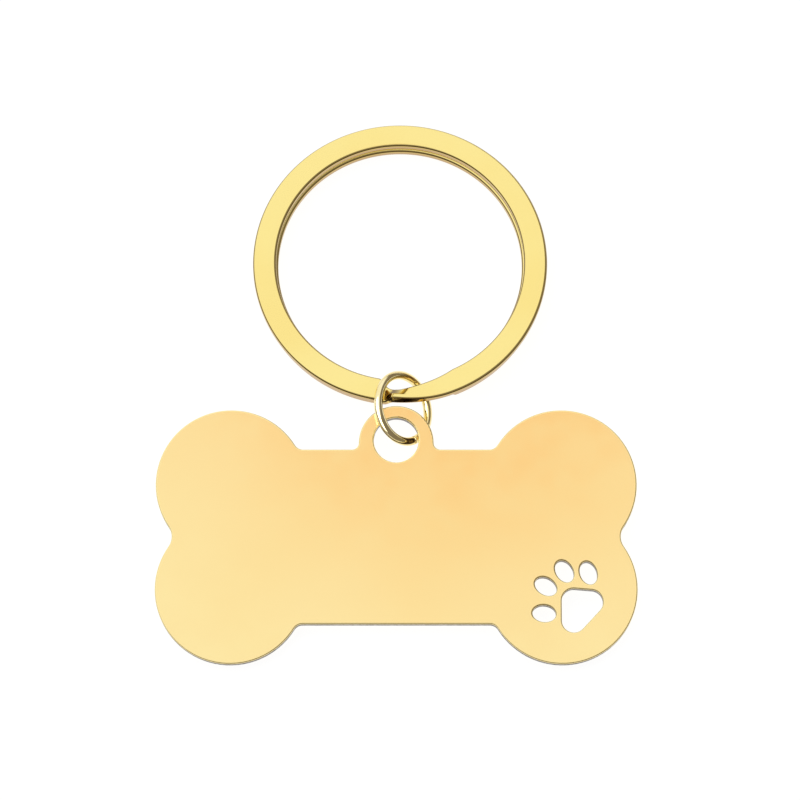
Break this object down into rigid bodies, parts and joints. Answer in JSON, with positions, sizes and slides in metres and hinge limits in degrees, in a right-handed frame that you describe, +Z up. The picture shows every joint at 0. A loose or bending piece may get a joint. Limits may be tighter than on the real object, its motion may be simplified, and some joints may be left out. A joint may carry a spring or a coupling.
{
  "type": "pet id tag",
  "caption": "Gold bone-shaped pet id tag with a paw-print cut-out, hung by a round jump ring from a flat split key ring that clips on a collar.",
  "frame": {"origin": "middle of the whole part's box, on the table that it lies on", "axes": "+X across the tag to the right, +Y from the tag towards the key ring, +Z up off the table"},
  "size_m": [0.05, 0.0582, 0.0057],
  "materials": {
    "tag_gold": "polished",
    "jump_ring_gold": "polished",
    "key_ring_gold": "polished"
  },
  "bodies": {
    "tag": {"tag_plate": "tag_gold"},
    "jump_ring": {"jump_ring": "jump_ring_gold"},
    "key_ring": {"split_ring": "key_ring_gold"}
  },
  "joints": [
    {"name": "jump_ring_swing", "type": "hinge", "parent": "tag", "child": "jump_ring", "pos_m": [0, -0.00315, 0.00294], "axis": [1, 0, 0], "range_deg": [0, 60]},
    {"name": "key_ring_swing", "type": "hinge", "parent": "jump_ring", "child": "key_ring", "pos_m": [0.0004, -0.00059, 0.00246], "axis": [1, 0, 0], "range_deg": [-75, 105]}
  ]
}
